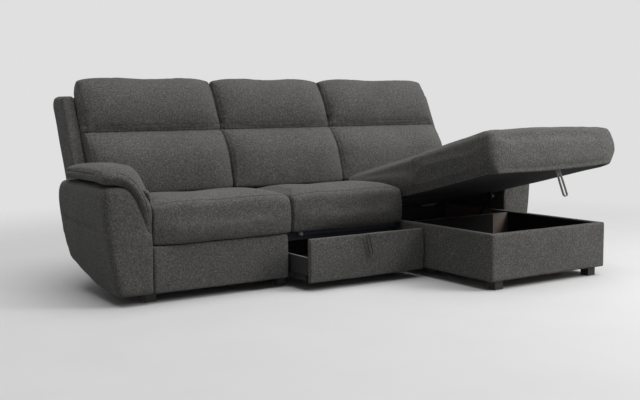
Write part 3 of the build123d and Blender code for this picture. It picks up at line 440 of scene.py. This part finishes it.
def skin(nodes, voxel, smoothing=2, turn=None, grow=SKIN_GROW):
    """A new even skin over one solid, or over several that share a cover, turned to where it is worked on."""
    weld = bmesh.new()
    for node in nodes:
        weld.from_mesh(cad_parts[node].data)
    bmesh.ops.remove_doubles(weld, verts=weld.verts, dist=1e-5)
    mesh = bpy.data.meshes.new(f"{nodes[0]}_cover")
    weld.to_mesh(mesh)
    weld.free()
    if turn is not None:
        mesh.transform(turn)
    piece = add_piece(f"{nodes[0]}_cover", mesh)
    modify(piece, "REMESH", mode="VOXEL", voxel_size=voxel, adaptivity=0.0)
    modify(piece, "SMOOTH", factor=0.5, iterations=smoothing)
    move_points(piece, points_of(piece) + normals_of(piece) * grow)
    return piece


def swell(piece, cap, held):
    """Blow the skin up as cloth. Points where held is true stay, and none moves further than cap."""
    start = points_of(piece)
    pins = piece.vertex_groups.new(name="held")
    pins.add([int(index) for index in np.flatnonzero(held(start))], 1.0, "REPLACE")
    cloth = piece.modifiers.new("cloth", "CLOTH")
    cloth.settings.quality = CLOTH_QUALITY
    cloth.settings.use_pressure = True
    cloth.settings.uniform_pressure_force = CLOTH_PRESSURE
    cloth.settings.effector_weights.gravity = 0.0
    cloth.settings.vertex_group_mass = "held"
    cloth.settings.tension_stiffness = CLOTH_STIFFNESS
    cloth.settings.compression_stiffness = CLOTH_STIFFNESS
    cloth.settings.bending_stiffness = CLOTH_BENDING
    cloth.collision_settings.use_collision = False
    cloth.collision_settings.use_self_collision = False
    cloth.point_cache.frame_start = 1
    cloth.point_cache.frame_end = CLOTH_FRAMES
    for number in range(1, CLOTH_FRAMES + 1):
        scene.frame_set(number)
    apply_modifiers(piece)
    scene.frame_set(1)
    piece.vertex_groups.clear()
    shift = points_of(piece) - start
    reach = np.linalg.norm(shift, axis=1, keepdims=True)
    shift *= cap * np.tanh(reach / cap) / np.maximum(reach, 1e-9)
    move_points(piece, start + shift)


def keep_between(piece, low, high):
    """Press the skin flat where it meets its neighbours. None leaves a side free."""
    spots = points_of(piece)
    for axis in range(3):
        if low[axis] is not None:
            spots[:, axis] = np.maximum(spots[:, axis], low[axis])
        if high[axis] is not None:
            spots[:, axis] = np.minimum(spots[:, axis], high[axis])
    move_points(piece, spots)


def finer(piece):
    """Divide the skin once more and shade it smooth."""
    modify(piece, "SUBSURF", levels=1, render_levels=1)
    piece.data.polygons.foreach_set("use_smooth", [True] * len(piece.data.polygons))


def trace(piece, starts, aim):
    """Points on the skin below a run of start points, looked for along aim."""
    tree = BVHTree.FromObject(piece, bpy.context.evaluated_depsgraph_get())
    aim = Vector(aim).normalized()
    found = []
    for begin, end in zip(starts, starts[1:]):
        begin, end = Vector(begin), Vector(end)
        count = max(int((end - begin).length / TRACE_STEP), 1)
        for number in range(count + 1):
            spot = begin.lerp(end, number / count)
            hit = tree.ray_cast(spot - aim * TRACE_OFF, aim)[0]
            if hit is None:
                hit = tree.find_nearest(spot)[0]
            found.append(hit)
    return found


def groove(piece, path, depth, width, pucker, pucker_reach=PUCKER_REACH):
    """Draw the skin in along a seam, with small puckers beside it."""
    tree = kdtree.KDTree(len(path))
    for number, spot in enumerate(path):
        tree.insert(spot, number)
    tree.balance()
    spots = points_of(piece)
    normals = normals_of(piece)
    for number, spot in enumerate(spots):
        away = tree.find(spot)[2]
        if away > GROOVE_REACH * max(width, pucker_reach if pucker else 0.0):
            continue
        drop = depth * math.exp(-(away / width) ** 2)
        if pucker:
            wave = noise.noise(Vector(spot) * PUCKER_SCALE)
            wave += 0.5 * noise.noise(Vector(spot) * PUCKER_FINE_SCALE)
            drop += pucker * wave * math.exp(-(away / pucker_reach) ** 2)
        spots[number] -= normals[number] * drop
    move_points(piece, spots)


def ripple(piece, size, height):
    """Slow hollows and swells of worn-in upholstery."""
    spots = points_of(piece)
    normals = normals_of(piece)
    for number, spot in enumerate(spots):
        spots[number] += normals[number] * noise.noise(Vector(spot) / size) * height
    move_points(piece, spots)


def thread_line(name, path, radius, body):
    """A seam's thread, laid along its groove."""
    curve = bpy.data.curves.new(name, "CURVE")
    curve.dimensions = "3D"
    curve.bevel_depth = radius
    curve.bevel_resolution = 1
    spline = curve.splines.new("POLY")
    spline.points.add(len(path) - 1)
    for point, spot in zip(spline.points, path):
        point.co = (*spot, 1.0)
    made = add_piece(name, curve)
    mesh = bpy.data.meshes.new_from_object(made.evaluated_get(bpy.context.evaluated_depsgraph_get()))
    bpy.data.objects.remove(made)
    line = add_piece(name, mesh)
    paint(mesh, THREAD)
    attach(line, body)


def upholster(piece, node, body):
    """Finish a soft piece: cloth, the body it moves with, and the solid it stands for."""
    paint(piece.data, CLOTH)
    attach(piece, body)
    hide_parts(node)


def seam(piece, name, body, starts, aim, depth, width, pucker, radius):
    """A sewn line: the skin drawn in along it, and its thread."""
    groove(piece, trace(piece, starts, aim), depth, width, pucker)
    thread_line(name, trace(piece, starts, aim), radius, body)


# Seat cushions
FRONT_AIM = (0, 1, -1)  # seams on a front top edge are looked for along this line
SEAT_SWELL = 8 * MM
SEAT_HELD = 0.012  # the foot and the rear edge stay where they are
SEAT_EASE = 2 * MM
LID_SIDE_EASE = -1 * MM  # the lid comes down beside the centre seat
SEAT_HOLLOWS = (0.16, 4.0 * MM)  # the hollows' size and height
SEAT_SEAM = (3.2 * MM, 7 * MM, 1.0 * MM, 0.8 * MM)  # depth, width, puckers and the thread's radius
SEAM_IN = 0.032  # the seam along a seat's front edge: in from its front, and down from its top
SEAM_DOWN = 0.030
SEAM_END_IN = 0.02
SEAT_FALL = 0.044  # the seats drop this far towards the back
SEAT_SPLIT = 0.027  # the left seat pushes the centre one over at the front
SPLIT_REACH = 0.25
for place in ("left", "centre"):
    node = f"seat_cushion_{place}"
    low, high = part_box(node)
    seat = skin([node], VOXEL)
    swell(
        seat,
        SEAT_SWELL,
        lambda spots: (spots[:, 2] < low.z + SEAT_HELD) | (spots[:, 1] > high.y - SEAT_HELD),
    )
    ease = SEAT_EASE if place == "left" else LID_SIDE_EASE
    keep_between(seat, (low.x - SEAT_EASE, None, low.z), (high.x + ease, None, None))
    spots = points_of(seat)
    fall_start = low.y + SEAM_IN
    fall = share(spots[:, 1], fall_start, fall_start + high.y - low.y)
    spots[:, 2] -= SEAT_FALL * fall * share(spots[:, 2], low.z, high.z)
    split = high.x if place == "left" else low.x
    push = share(abs(spots[:, 0] - split), SPLIT_REACH, 0.0)
    spots[:, 0] += SEAT_SPLIT * push * share(spots[:, 1], high.y, low.y)
    move_points(seat, spots)
    finer(seat)
    ripple(seat, *SEAT_HOLLOWS)
    across = (spots[:, 0].min() + SEAM_END_IN, spots[:, 0].max() - SEAM_END_IN)
    ends = [(x, low.y + SEAM_IN, high.z - SEAM_DOWN) for x in across]
    seam(seat, f"seat_front_seam_{place}", "frame", ends, FRONT_AIM, *SEAT_SEAM)
    upholster(seat, node, "frame")

# Back cushions
BACK_AIM = (0, 1, 0)
BACK_SWELL = 12 * MM
BACK_HELD = 0.012
BACK_EASE = 2 * MM
BACK_HOLLOWS = (0.2, 4.0 * MM)
BACK_DROP = 0.042  # the back cushions sag onto the seats
BACK_SAG_REACH = 0.15
HEAD_RISE = 0.007  # the heads' tops crown up, and the left one's outer corner is drawn in
HEAD_REACH = 0.12
HEAD_CORNER_IN = 0.014
CREASE_Z = 0.757
CREASE_HELD = 0.006
CREASE_IN = 0.004
CREASE_DRAW = (9.0 * MM, 8 * MM, 2.2 * MM)
CREASE_PUCKER_REACH = 0.05
CREASE_THREAD = 1.6 * MM
STITCH_UP = 0.030  # a row of stitches above the crease
STITCH_IN = 0.01
STITCH_SEAM = (1.2 * MM, 5 * MM, 0.0, 0.6 * MM)
END_SEAM = (2.0 * MM, 5 * MM, 1.0 * MM, 0.8 * MM)
END_SEAM_IN = 0.012
END_SEAM_DOWN = 0.03
END_SEAM_UP = 0.02
for place in ("left", "centre", "right"):
    node = f"back_cushion_{place}"
    low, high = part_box(node)
    back = skin([node], VOXEL)
    swell(
        back,
        BACK_SWELL,
        lambda spots: (spots[:, 2] < low.z + BACK_HELD) | (abs(spots[:, 2] - CREASE_Z) < CREASE_HELD),
    )
    keep_between(back, (low.x - BACK_EASE, None, None), (high.x + BACK_EASE, None, None))
    finer(back)
    ripple(back, *BACK_HOLLOWS)
    spots = points_of(back)
    sag = share(spots[:, 2], low.z + BACK_SAG_REACH, low.z)
    rise = share(spots[:, 2], high.z - HEAD_REACH, high.z)
    spots[:, 2] += HEAD_RISE * rise - BACK_DROP * sag
    if place == "left":
        spots[:, 0] += HEAD_CORNER_IN * rise * share(spots[:, 0], low.x + HEAD_REACH, low.x)
    move_points(back, spots)
    ends = [(x, low.y, CREASE_Z) for x in (low.x + CREASE_IN, high.x - CREASE_IN)]
    groove(back, trace(back, ends, BACK_AIM), *CREASE_DRAW, CREASE_PUCKER_REACH)
    thread_line(f"back_crease_{place}", trace(back, ends, BACK_AIM), CREASE_THREAD, "frame")
    ends = [(x, low.y, CREASE_Z + STITCH_UP) for x in (low.x + STITCH_IN, high.x - STITCH_IN)]
    seam(back, f"back_stitch_{place}", "frame", ends, BACK_AIM, *STITCH_SEAM)
    for end, x in {"first": low.x + END_SEAM_IN, "last": high.x - END_SEAM_IN}.items():
        run = [(x, low.y, high.z - END_SEAM_DOWN), (x, low.y, low.z + END_SEAM_UP)]
        seam(back, f"back_{end}_seam_{place}", "frame", run, BACK_AIM, *END_SEAM)
    upholster(back, node, "frame")

# Lid cushion, worked on as if the lid were shut
LID_SHUT = (
    Matrix.Translation(LID_LINE) @ Matrix.Rotation(LID_OPEN, 4, "X") @ Matrix.Translation(-LID_LINE)
)
LID_VOXEL = 0.007
LID_SWELL = 12 * MM
LID_HELD_FOOT = 0.022
LID_HELD_REAR = 0.03
LID_SIDE_IN = 2 * MM
LID_HOLLOWS = (0.2, 3.0 * MM)
LID_TUCK_REACH = 0.006  # the skin runs in under the board, whose lining shows below
LID_TUCK_UP = 0.009
LID_CLEAR = 0.0025
LID_ARM_CLEAR = 0.004  # the lid comes down beside the right arm
LID_ARM_REACH = 0.12  # and is pressed in from this far ahead of it
LID_LIP_LEFT = 0.012  # the front hangs below the board, but is drawn up towards its right end
LID_LIP_RIGHT = -0.012
LID_LIP_REACH = 0.080
LID_END_OUT = 0.026  # the right end bulges this much further at the front
LID_END_REACH = 0.30
LID_SEAM_DRAW = (2.4 * MM, 8 * MM, 1.2 * MM)
LID_SEAM_THREAD = 0.6 * MM
LID_SEAM_END_IN = 0.05
lid = skin(["chaise_cushion", "lid_board", "lid_lining"], LID_VOXEL, turn=LID_SHUT)
spots = points_of(lid)
lid_low, lid_high = spots.min(axis=0), spots.max(axis=0)
swell(
    lid,
    LID_SWELL,
    lambda spots: (spots[:, 2] < lid_low[2] + LID_HELD_FOOT) | (spots[:, 1] > lid_high[1] - LID_HELD_REAR),
)
keep_between(lid, (lid_low[0] + LID_SIDE_IN, None, lid_low[2] + LID_CLEAR), (None, lid_high[1], None))
spots = points_of(lid)
arm_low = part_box("right_arm_body")[0]
free = share(spots[:, 1], arm_low.y, arm_low.y - LID_ARM_REACH)
spots[:, 0] = np.minimum(spots[:, 0], arm_low.x - LID_ARM_CLEAR + free * LID_ARM_REACH)
board_low, board_high = turned_box("lid_board", LID_SHUT)
under = spots[:, 2] < lid_low[2] + LID_TUCK_REACH
for axis in (0, 1):
    under &= (spots[:, axis] > board_low[axis]) & (spots[:, axis] < board_high[axis])
spots[under, 2] += LID_TUCK_UP
lip = share(spots[:, 1], lid_low[1] + LID_LIP_REACH, lid_low[1])
lip *= share(spots[:, 2], lid_low[2] + LID_LIP_REACH, lid_low[2])
along = (spots[:, 0] - lid_low[0]) / (lid_high[0] - lid_low[0])
spots[:, 2] -= (LID_LIP_LEFT + (LID_LIP_RIGHT - LID_LIP_LEFT) * along ** 3) * lip
bulge = share(spots[:, 0], lid_high[0] - LID_END_REACH, lid_high[0])
bulge *= share(spots[:, 1], lid_low[1] + 2 * LID_END_REACH, lid_low[1] + LID_END_REACH)
spots[:, 0] += LID_END_OUT * bulge * share(spots[:, 2], lid_low[2], lid_low[2] + LID_LIP_REACH)
move_points(lid, spots)
finer(lid)
ripple(lid, *LID_HOLLOWS)
across = (lid_low[0] + LID_SEAM_END_IN, lid_high[0] - LID_SEAM_END_IN)
ends = [(x, lid_low[1] + SEAM_IN, lid_high[2] - SEAM_DOWN) for x in across]
groove(lid, trace(lid, ends, FRONT_AIM), *LID_SEAM_DRAW)
run = [LID_SHUT.inverted() @ spot for spot in trace(lid, ends, FRONT_AIM)]
thread_line("lid_front_seam", run, LID_SEAM_THREAD, "lid")
lid.data.transform(LID_SHUT.inverted())
upholster(lid, "chaise_cushion", "lid")

# Arms and their pads
ARM_SMOOTHING = 16
ARM_GROW = 0.006
ARM_HOLLOWS = (0.18, 4.0 * MM)
ARM_TUCK_OUT = 0.008  # the arm's inner top edge stays under the front of the pad
ARM_TUCK_DOWN = 0.018
ARM_TUCK_REACH = 0.06
ARM_TUCK_END = 0.30
ARM_FOLD_Z = 0.350  # the fold along the arm's side
ARM_FOLD_DROP = 0.02
ARM_FOLD_FRONT = 0.12
ARM_FOLD_REAR = 0.10
ARM_FOLD_DRAW = (4.0 * MM, 13 * MM, 1.5 * MM)
PAD_VOXEL = 0.007
PAD_SMOOTHING = 10
PAD_GROW = 0.003
PAD_SWELL = 4 * MM
PAD_HELD_IN = 0.008
PAD_HELD_Z = 0.535
PAD_THIN = 0.025  # the pad's outer side is this much thinner than its solid
PAD_THIN_IN = 0.15
PAD_THIN_DOWN = 0.088
PAD_SKIRT = 0.016  # the pad's inner edge hangs over the arm
PAD_SEAM_DOWN = 0.036
PAD_SEAM_REAR = 0.03
PAD_SEAM_FRONT = 0.12
PAD_SIDE_FALL = -0.4  # slope of the line along which the seam on the pad's side is looked for
PAD_FRONT_AIM = (0, 1, -0.5)
PAD_FRONT_SEAM = ((0.160, 0.600), (0.110, 0.586), (0.066, 0.545), (0.040, 0.490), (0.022, 0.420))
PAD_SEAM_DRAW = (3.0 * MM, 5 * MM, 1.0 * MM)
PAD_SEAM_THREAD = 1.1 * MM
for side, out in (("left", -1.0), ("right", 1.0)):
    node = f"{side}_arm_body"
    low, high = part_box(node)
    inner_x, outer_x = (high.x, low.x) if out < 0 else (low.x, high.x)
    arm = skin([node], VOXEL, ARM_SMOOTHING, None, ARM_GROW)
    keep_between(arm, (None if out < 0 else low.x, None, low.z), (high.x if out < 0 else None, None, None))
    finer(arm)
    ripple(arm, *ARM_HOLLOWS)
    spots = points_of(arm)
    tuck = share(abs(spots[:, 0] - inner_x), ARM_TUCK_REACH, 0.0)
    tuck *= share(spots[:, 2], high.z - ARM_TUCK_REACH, high.z)
    tuck_end = low.y + ARM_TUCK_END
    tuck *= share(spots[:, 1], tuck_end, tuck_end - ARM_TUCK_REACH)
    spots[:, 0] += out * ARM_TUCK_OUT * tuck
    spots[:, 2] -= ARM_TUCK_DOWN * tuck
    move_points(arm, spots)
    run = [
        (outer_x, low.y + ARM_FOLD_FRONT, ARM_FOLD_Z - ARM_FOLD_DROP),
        (outer_x, high.y - ARM_FOLD_REAR, ARM_FOLD_Z),
    ]
    groove(arm, trace(arm, run, (-out, 0, 0)), *ARM_FOLD_DRAW)
    upholster(arm, node, "frame")

    node = f"{side}_arm_pad"
    low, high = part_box(node)
    pad = skin([node], PAD_VOXEL, PAD_SMOOTHING, None, PAD_GROW)
    swell(
        pad,
        PAD_SWELL,
        lambda spots: (abs(spots[:, 0] - inner_x) < PAD_HELD_IN) | (spots[:, 2] < PAD_HELD_Z),
    )
    keep_between(pad, (None if out < 0 else low.x, None, None), (high.x if out < 0 else None, None, None))
    spots = points_of(pad)
    thin = share(abs(spots[:, 0] - outer_x), PAD_THIN_IN, 0.0)
    spots[:, 2] += PAD_THIN * thin * share(spots[:, 2], high.z, high.z - PAD_THIN_DOWN)
    skirt = share(abs(spots[:, 0] - inner_x), ARM_TUCK_REACH, 0.0)
    spots[:, 2] -= PAD_SKIRT * skirt * share(spots[:, 2], high.z, high.z - PAD_THIN_DOWN)
    move_points(pad, spots)
    finer(pad)
    aim = (-out, 0, PAD_SIDE_FALL)
    run = [(outer_x, y, high.z - PAD_SEAM_DOWN) for y in (high.y - PAD_SEAM_REAR, low.y + PAD_SEAM_FRONT)]
    groove(pad, trace(pad, run, aim), *PAD_SEAM_DRAW)
    line = trace(pad, run, aim)
    run = [(inner_x + out * across, low.y, z) for across, z in PAD_FRONT_SEAM]
    groove(pad, trace(pad, run, PAD_FRONT_AIM), *PAD_SEAM_DRAW)
    line += trace(pad, run, PAD_FRONT_AIM)
    thread_line(f"{side}_pad_seam", line, PAD_SEAM_THREAD, "frame")
    upholster(pad, node, "frame")

# Padded panels
PANEL_GROW = 0.0006
WING_GROW = 0.0075
DRAWER_GROW = -0.0022  # it goes in between the base boards
PANEL_HOLLOWS = (0.15, 1.5 * MM)
RIM_CLEAR = 0.5 * MM  # the lid comes down on the chaise cover's rim
PANELS = {  # the body, the skin's voxel and its growth
    "front_panel_left": ("frame", 0.007, PANEL_GROW),
    "drawer_front": ("drawer", 0.007, DRAWER_GROW),
    "chaise_cover": ("frame", 0.006, PANEL_GROW),
    "back_panel": ("frame", 0.011, PANEL_GROW),
    "left_back_wing": ("frame", 0.008, WING_GROW),
    "right_back_wing": ("frame", 0.008, WING_GROW),
}
for node, (body, voxel, grow) in PANELS.items():
    panel = skin([node], voxel, grow=grow)
    finer(panel)
    ripple(panel, *PANEL_HOLLOWS)
    if node == "chaise_cover":
        keep_between(panel, (None, None, None), (None, None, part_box(node)[1].z - RIM_CLEAR))
    upholster(panel, node, body)

# Pull loops: a tape folded to a narrow loop, sewn in by its two ends and leaning a little
LOOP_TAPE = 0.0016
LOOP_WAIST = 0.7  # the loop is this narrow at its sewn ends
LOOP_NARROW = 0.5  # the tape against its solid: narrower and longer
LOOP_STRETCH = 1.08
LOOP_STEPS = 20
LOOP_ACROSS = 6
LID_LOOP_LEAN = (0.15, -0.04)
DRAWER_LOOP_LEAN = (0.24, 0.0)
DRAWER_LOOP_ASIDE = -0.022


def pull_loop(node, body, tape, straight, aside, lean):
    """A ribbon down one strand, round the tip and up the other. straight turns the solid upright."""
    low, high = turned_box(node, straight)
    half = (high[0] - low[0]) / 2
    length = (high[2] - low[2]) * LOOP_STRETCH
    width = (high[1] - low[1]) * LOOP_NARROW
    middle = (low[0] + high[0]) / 2 + aside
    front = (low[1] + high[1] - width) / 2
    strand = [(-half, -(length - half) * step / LOOP_STEPS) for step in range(LOOP_STEPS)]
    turns = [math.pi * step / LOOP_STEPS for step in range(LOOP_STEPS + 1)]
    tip = [(-half * math.cos(turn), -(length - half) - half * math.sin(turn)) for turn in turns]
    run = strand + tip + [(-across, drop) for across, drop in reversed(strand)]
    spots = []
    for across, drop in run:
        waist = LOOP_WAIST + (1.0 - LOOP_WAIST) * min(-2.0 * drop / length, 1.0)
        for number in range(LOOP_ACROSS + 1):
            back = front + width * number / LOOP_ACROSS
            spots.append((middle + across * waist - lean[0] * drop, back - lean[1] * drop, high[2] + drop))
    faces = []
    for row in range(len(run) - 1):
        for number in range(LOOP_ACROSS):
            first = row * (LOOP_ACROSS + 1) + number
            faces.append((first, first + 1, first + LOOP_ACROSS + 2, first + LOOP_ACROSS + 1))
    mesh = bpy.data.meshes.new(f"{node}_tape")
    mesh.from_pydata(spots, [], faces)
    mesh.transform(straight.inverted())
    loop = add_piece(f"{node}_tape", mesh)
    modify(loop, "SOLIDIFY", thickness=LOOP_TAPE, offset=0.0)
    finer(loop)
    paint(loop.data, tape)
    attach(loop, body)
    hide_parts(node)


pull_loop("lid_pull_loop", "lid", TAPE, LID_SHUT, 0.0, LID_LOOP_LEAN)
pull_loop(
    "drawer_pull_loop", "drawer", DARK_TAPE, Matrix(), DRAWER_LOOP_ASIDE, DRAWER_LOOP_LEAN,
)

# Camera
camera_data = bpy.data.cameras.new("photo_camera")
camera_data.lens = CAMERA_LENS
camera_data.sensor_width = CAMERA_SENSOR
camera = add_piece("photo_camera", camera_data)
camera.matrix_world = (
    Matrix.Translation(CAMERA_AT)
    @ Matrix.Rotation(-CAMERA_YAW, 4, "Z")
    @ Matrix.Rotation(math.pi / 2 - CAMERA_PITCH, 4, "X")
    @ Matrix.Rotation(CAMERA_ROLL, 4, "Z")
)
scene.camera = camera

# Studio: pale ground that runs into a pale backdrop, and soft light from above and from the front right
BACKDROP = (0.745, 0.745, 0.745, 1.0)
WHITE = (1.0, 1.0, 1.0, 1.0)
AMBIENT = 0.14
world = bpy.data.worlds.new("studio")
scene.world = world
air = Nodes(world, "Background")
air.dress(Color=WHITE, Strength=AMBIENT)
seen = air.add("ShaderNodeBackground", inputs={"Color": BACKDROP})
air.show(air.add("ShaderNodeMixShader", inputs={0: air.seen_rays(), 1: air.own_shader(), 2: seen}))

FLOOR = 16.0
FLOOR_NEAR = 2.3  # the lit ground fades from here on and has run into the backdrop at FLOOR_FAR
FLOOR_FAR = 4.6
FLOOR_DARK = (0.72, 0.72, 0.72)
FLOOR_PALE = (0.74, 0.74, 0.74)
FLOOR_BOUNCE = (0.26, 0.26, 0.26, 1.0)  # what the ground sends back onto the sofa
floor_mesh = bpy.data.meshes.new("studio_floor")
floor_corners = [(-FLOOR, -FLOOR, 0), (FLOOR, -FLOOR, 0), (FLOOR, FLOOR, 0), (-FLOOR, FLOOR, 0)]
floor_mesh.from_pydata(floor_corners, [], [(0, 1, 2, 3)])
floor = add_piece("studio_floor", floor_mesh)
ground = Finish("studio_ground")
dust = ground.noise(3.0, 3.0)
ground.dress(
    Base_Color=ground.ramp(dust, (0.3, FLOOR_DARK), (0.7, FLOOR_PALE)),
    Roughness=0.6 + dust * 0.1,
    Specular_IOR_Level=0.15,
)
spot = ground.add("ShaderNodeTexCoord", output="Object")
away = ground.add("ShaderNodeVectorMath", {"operation": "LENGTH"}, {0: spot}, output="Value")
fade_range = {"Value": away, "From Min": FLOOR_NEAR, "From Max": FLOOR_FAR}
fade = ground.add("ShaderNodeMapRange", {"interpolation_type": "SMOOTHSTEP"}, fade_range)
glow = ground.add("ShaderNodeEmission", inputs={"Color": BACKDROP})
pale = ground.add("ShaderNodeMixShader", inputs={0: fade, 1: ground.own_shader(), 2: glow})
bounce = ground.add("ShaderNodeBsdfDiffuse", inputs={"Color": FLOOR_BOUNCE})
ground.show(ground.add("ShaderNodeMixShader", inputs={0: ground.seen_rays(), 1: bounce, 2: pale}))
floor_mesh.materials.append(ground.holder)


def add_lamp(name, kind, spot, target, power, **settings):
    data = bpy.data.lights.new(name, kind)
    data.energy = power
    for key, value in settings.items():
        setattr(data, key, value)
    lamp = add_piece(name, data)
    lamp.location = spot
    lamp.rotation_euler = (Vector(target) - Vector(spot)).to_track_quat("-Z", "Y").to_euler()


KEY_AT = (2.6, -3.0, 2.4)
KEY_AIM = (0.2, -0.2, 0.4)
KEY_POWER = 80.0
KEY_SIZE = 1.8
SKY_AT = (0.4, -0.6, 4.0)
SKY_AIM = (0.0, 0.0, 0.0)
SKY_POWER = 2.0
SKY_ANGLE = 1.1
add_lamp("key_lamp", "AREA", KEY_AT, KEY_AIM, KEY_POWER, shape="DISK", size=KEY_SIZE)
add_lamp("sky_lamp", "SUN", SKY_AT, SKY_AIM, SKY_POWER, angle=SKY_ANGLE)
